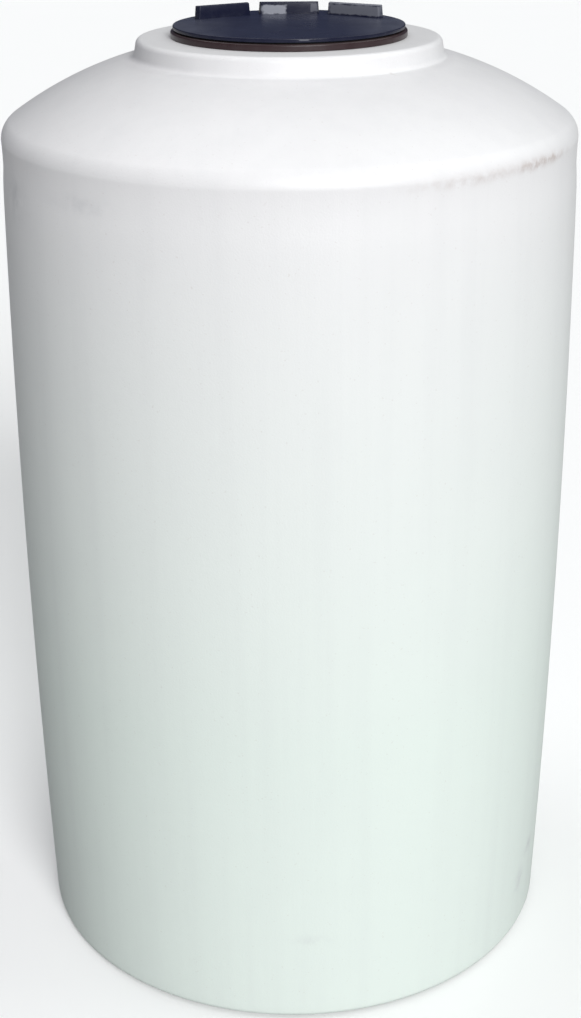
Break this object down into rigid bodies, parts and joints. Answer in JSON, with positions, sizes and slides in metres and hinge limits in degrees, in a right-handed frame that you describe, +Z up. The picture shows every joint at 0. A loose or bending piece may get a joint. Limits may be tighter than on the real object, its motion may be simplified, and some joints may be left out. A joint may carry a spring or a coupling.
{
  "type": "vertical storage tank",
  "caption": "Upright round plastic storage tank with a slightly barrelled wall, domed roof, raised manway boss, black manway ring and a screw lid with grip lugs.",
  "frame": {"origin": "middle of the tank's flat underside, on the ground", "axes": "+Z up along the tank's axis, towards the manway; the lid's grip lugs are at +Y, so the front faces -Y"},
  "size_m": [0.7946, 0.7946, 1.3564],
  "materials": {
    "tank_polyethylene": "as moulded, satin off-white",
    "ring_plastic": "as moulded, brown-black satin",
    "gasket_rubber": "matte black rubber",
    "lid_plastic": "as moulded, blue-black satin"
  },
  "bodies": {
    "tank": {"tank_floor": "tank_polyethylene", "wall_segment_01": "tank_polyethylene", "wall_segment_02": "tank_polyethylene", "wall_segment_03": "tank_polyethylene", "wall_segment_04": "tank_polyethylene", "wall_segment_05": "tank_polyethylene", "wall_segment_06": "tank_polyethylene", "wall_segment_07": "tank_polyethylene", "wall_segment_08": "tank_polyethylene", "wall_segment_09": "tank_polyethylene", "wall_segment_10": "tank_polyethylene", "wall_segment_11": "tank_polyethylene", "wall_segment_12": "tank_polyethylene", "roof_segment_01": "tank_polyethylene", "roof_segment_02": "tank_polyethylene", "roof_segment_03": "tank_polyethylene", "roof_segment_04": "tank_polyethylene", "roof_segment_05": "tank_polyethylene", "roof_segment_06": "tank_polyethylene", "roof_segment_07": "tank_polyethylene", "roof_segment_08": "tank_polyethylene", "roof_segment_09": "tank_polyethylene", "roof_segment_10": "tank_polyethylene", "roof_segment_11": "tank_polyethylene", "roof_segment_12": "tank_polyethylene", "manway_boss": "tank_polyethylene", "manway_ring": "ring_plastic"},
    "gasket": {"lid_gasket": "gasket_rubber"},
    "lid": {"manway_lid": "lid_plastic"}
  },
  "joints": [
    {"name": "lid_lift", "type": "slide", "parent": "tank", "child": "gasket", "axis": [0, 0, 1], "range_m": [0, 0.3]},
    {"name": "lid_turn", "type": "hinge", "parent": "gasket", "child": "lid", "pos_m": [0, 0, 1.338], "axis": [0, 0, 1], "range_deg": [0, 360]}
  ]
}
